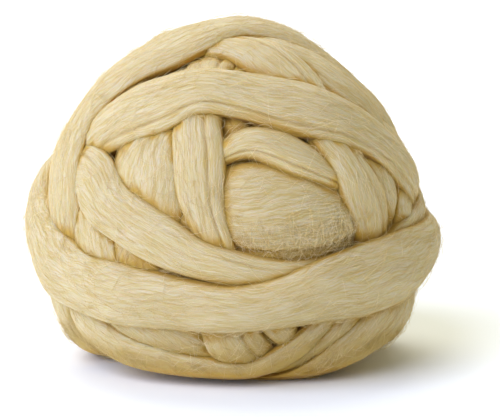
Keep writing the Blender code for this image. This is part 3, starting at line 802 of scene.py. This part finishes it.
def add_strands(name, batches, material):
    """One piece of several batches of strands."""
    starts = np.cumsum([0] + [len(batch["verts"]) for batch in batches[:-1]])
    faces = np.concatenate([batch["faces"] + start for batch, start in zip(batches, starts)])
    joined = {key: np.concatenate([batch[key] for batch in batches])
              for key in ("verts", "open", "near", "flow", "tone")}
    add_piece(name, joined.pop("verts"), faces.tolist(), joined, material)


# --- material ---
class Nodes:
    """A material's node tree, with short calls for the nodes used here."""

    def __init__(self, name):
        self.material = bpy.data.materials.new(name)
        self.material.use_nodes = True
        self.tree = self.material.node_tree
        self.shader = self.tree.nodes["Principled BSDF"]

    def add(self, kind, **settings):
        node = self.tree.nodes.new(kind)
        for key, value in settings.items():
            setattr(node, key, value)
        return node

    def feed(self, socket, value):
        """Links a socket to another one, or sets it to a plain value."""
        if isinstance(value, bpy.types.NodeSocket):
            self.tree.links.new(value, socket)
        else:
            socket.default_value = value

    def attribute(self, name, socket="Fac"):
        return self.add("ShaderNodeAttribute", attribute_name=name).outputs[socket]

    def math(self, operation, first, second):
        node = self.add("ShaderNodeMath", operation=operation)
        self.feed(node.inputs[0], first)
        self.feed(node.inputs[1], second)
        return node.outputs[0]

    def stretched_noise(self, vector, across, along, detail, shift):
        """Noise with its scale across and along the fibres in waves per mm."""
        mapping = self.add("ShaderNodeMapping")
        mapping.inputs["Scale"].default_value = (across, along, along)
        mapping.inputs["Location"].default_value = shift
        self.feed(mapping.inputs["Vector"], vector)
        texture = self.add("ShaderNodeTexNoise")
        texture.inputs["Scale"].default_value = 1.0
        texture.inputs["Detail"].default_value = detail
        self.feed(texture.inputs["Vector"], mapping.outputs[0])
        return texture.outputs["Fac"]

    def mix(self, factor, first, second, blend="MIX"):
        node = self.add("ShaderNodeMix", data_type="RGBA", blend_type=blend)
        for socket, value in zip((node.inputs[0], node.inputs[6], node.inputs[7]),
                                 (factor, first, second)):
            self.feed(socket, value)
        return node.outputs[2]

    def ramp(self, factor, low, high, to_low, to_high):
        """to_low where the factor is low, to_high where it is high, and a smooth change between."""
        node = self.add("ShaderNodeMapRange", interpolation_type="SMOOTHSTEP")
        self.feed(node.inputs[0], factor)
        for socket, value in zip(list(node.inputs)[1:5], (low, high, to_low, to_high)):
            socket.default_value = value
        return node.outputs[0]


def swayed(nodes, flow, shift):
    """Fibre coordinates that sway sideways."""
    asides = [nodes.math("MULTIPLY", nodes.stretched_noise(flow, across, along, 1.0, shift), far)
              for across, along, far in (SWAY, CRIMP)]
    parts = nodes.add("ShaderNodeSeparateXYZ")
    nodes.feed(parts.inputs[0], flow)
    joined = nodes.add("ShaderNodeCombineXYZ")
    nodes.feed(joined.inputs[0], nodes.math("ADD", parts.outputs[0], nodes.math("ADD", *asides)))
    nodes.feed(joined.inputs[1], parts.outputs[1])
    nodes.feed(joined.inputs[2], parts.outputs[2])
    return joined.outputs[0]


def wool(name, subsurface, gain):
    """Combed streaks of cream and straw, and painted shade: more golden and then brown where less sky
    is seen.
    """
    nodes = Nodes(name)
    flow = nodes.attribute("flow", "Vector")
    steers = {"streak": nodes.stretched_noise(swayed(nodes, flow, STREAK_SHIFT), *STREAKS),
              "hair": nodes.stretched_noise(swayed(nodes, flow, HAIR_SHIFT), *HAIRS),
              "blotch": nodes.stretched_noise(flow, *BLOTCHES)}
    steers.update({key: nodes.attribute(key) for key in ("tone", "open", "near")})

    def layered(colour, layers):
        for key, low, high, share_low, share_high, over in layers:
            colour = nodes.mix(nodes.ramp(steers[key], low, high, share_low, share_high), colour, over)
        return colour

    combed = nodes.mix(1.0, layered(CREAM, COMBED), gain, "MULTIPLY")
    # The base colour carries painted shade, from the sky that each point sees.
    nodes.feed(nodes.shader.inputs["Base Color"], layered(combed, CREVICE_SHADE))
    halves = [nodes.math("MULTIPLY", steers[key], 0.5) for key in ("streak", "hair")]
    bump = nodes.add("ShaderNodeBump")
    bump.inputs["Strength"].default_value = BUMP_STRENGTH
    bump.inputs["Distance"].default_value = BUMP_DEPTH
    nodes.feed(bump.inputs["Height"], nodes.math("ADD", *halves))
    nodes.feed(nodes.shader.inputs["Normal"], bump.outputs[0])
    nodes.shader.inputs["Subsurface Weight"].default_value = subsurface
    for socket, value in FINISH.items():
        nodes.shader.inputs[socket].default_value = value
    return nodes.material


# --- the ball ---
def add_core(material):
    """The wound middle, seen only deep between the turns and painted in deep shade; it reaches down to
    the flat spot.
    """
    lon, lat = np.meshgrid(np.arange(CORE_COLUMNS) * 360 / CORE_COLUMNS,
                           np.linspace(-90, 90, CORE_ROWS + 1)[1:-1])
    poles = direction(np.zeros(2), np.array([-90, 90]))
    d = np.concatenate([direction(lon, lat).reshape(-1, 3), poles])
    outside = outer_radius(d)
    reach = smoothstep((outside * np.hypot(d[:, 0], d[:, 1]) - CORE_FOOT) / CORE_FOOT_EDGE)
    depth = CORE_DEPTH * np.where(d[:, 2] < 0, reach, 1.0)
    points = above_floor(CENTRE + d * (outside - depth)[:, None])
    faces, last = [], len(points) - 1
    top = (CORE_ROWS - 2) * CORE_COLUMNS
    for column in range(CORE_COLUMNS):
        beside = (column + 1) % CORE_COLUMNS
        faces.append((last - 1, beside, column))
        for row in range(0, top, CORE_COLUMNS):
            faces.append((row + column, row + beside, row + CORE_COLUMNS + beside,
                          row + CORE_COLUMNS + column))
        faces.append((top + column, top + beside, last))
    # Little sky, so the middle gets dark painted shade.
    deep_shade_sky = np.full(len(points), CORE_OPEN)
    add_piece("core", points, faces, {"open": deep_shade_sky, "near": deep_shade_sky, "flow": points * 1000,
                                      "tone": np.full(len(points), BAND_TONE)}, material)


def wind_ball(turned, loose):
    """The middle, each turn and the fibres laid on it, and then the loose fibres of all turns."""
    turns = all_turns()
    settled = settle(turns)
    add_core(turned)
    rng = np.random.default_rng(STRAND_SEED)
    laid = {kind: [] for kind in LOOSE_KINDS}
    for order, (turn, heights, sky) in enumerate(zip(turns, settled, measured_sky(turns, settled))):
        name = turn[0]
        band = finished_band(order, turn, heights, sky)
        add_band(f"turn_{order:02d}_{name}", band, turned)
        if shown_area(band) < LEAST_SHOWN:
            continue
        kinds = ["combed"] + ([TUFTED[name]] if name in TUFTED else [])
        batches = [grow(band, FIBRES[kind], rng) for kind in kinds]
        add_strands(f"fibres_{order:02d}_{name}", batches, loose)
        for kind in LOOSE_KINDS:
            laid[kind].append(grow(band, FIBRES[kind], rng))
    for kind in LOOSE_KINDS:
        add_strands(kind, laid[kind], loose)


# --- the studio ---
def add_camera():
    forward = Vector((0, math.cos(CAMERA_ELEVATION), -math.sin(CAMERA_ELEVATION)))
    right = Vector((1, 0, 0))
    up = right.cross(forward)
    aim = (Vector(CENTRE) + right * (IMAGE_WIDTH / 2 - BALL_PIXEL[0]) * METRES_PER_PIXEL
           - up * (IMAGE_HEIGHT / 2 - BALL_PIXEL[1]) * METRES_PER_PIXEL)
    data = bpy.data.cameras.new("camera")
    data.sensor_width = SENSOR_WIDTH
    data.lens = SENSOR_WIDTH * CAMERA_DISTANCE / (IMAGE_WIDTH * METRES_PER_PIXEL)
    camera = bpy.data.objects.new("camera", data)
    camera.location = aim - forward * CAMERA_DISTANCE
    camera.rotation_euler = forward.to_track_quat("-Z", "Y").to_euler()
    bpy.context.scene.collection.objects.link(camera)
    bpy.context.scene.camera = camera


def add_sun(name, toward, strength, angle, colour):
    """A wide soft sun whose light comes from this direction."""
    data = bpy.data.lights.new(name, "SUN")
    data.energy, data.angle, data.color = strength, math.radians(angle), colour
    light = bpy.data.objects.new(name, data)
    light.rotation_euler = Vector(toward).to_track_quat("Z", "Y").to_euler()
    bpy.context.scene.collection.objects.link(light)


def add_floor():
    mesh = bpy.data.meshes.new("floor")
    far = FLOOR_HALF
    corners = [(-far, -far, 0), (far, -far, 0), (far, far, 0), (-far, far, 0)]
    mesh.from_pydata(corners, [], [(0, 1, 2, 3)])
    floor = bpy.data.objects.new("floor", mesh)
    bpy.context.scene.collection.objects.link(floor)
    pale = Nodes("pale_floor")
    pale.shader.inputs["Base Color"].default_value = FLOOR_COLOUR
    pale.shader.inputs["Roughness"].default_value = FLOOR_ROUGHNESS
    mesh.materials.append(pale.material)


def add_light():
    world = bpy.data.worlds.new("studio")
    world.use_nodes = True
    world.node_tree.nodes["Background"].inputs["Color"].default_value = WORLD_COLOUR
    world.node_tree.nodes["Background"].inputs["Strength"].default_value = WORLD_STRENGTH
    bpy.context.scene.world = world
    bpy.context.scene.view_settings.view_transform = "Standard"
    for name, settings in SUNS.items():
        add_sun(name, *settings)


add_camera()
add_floor()
add_light()
wind_ball(wool("combed_wool", BAND_SUBSURFACE, BAND_GAIN),
          wool("loose_wool", LOOSE_SUBSURFACE, LOOSE_GAIN))
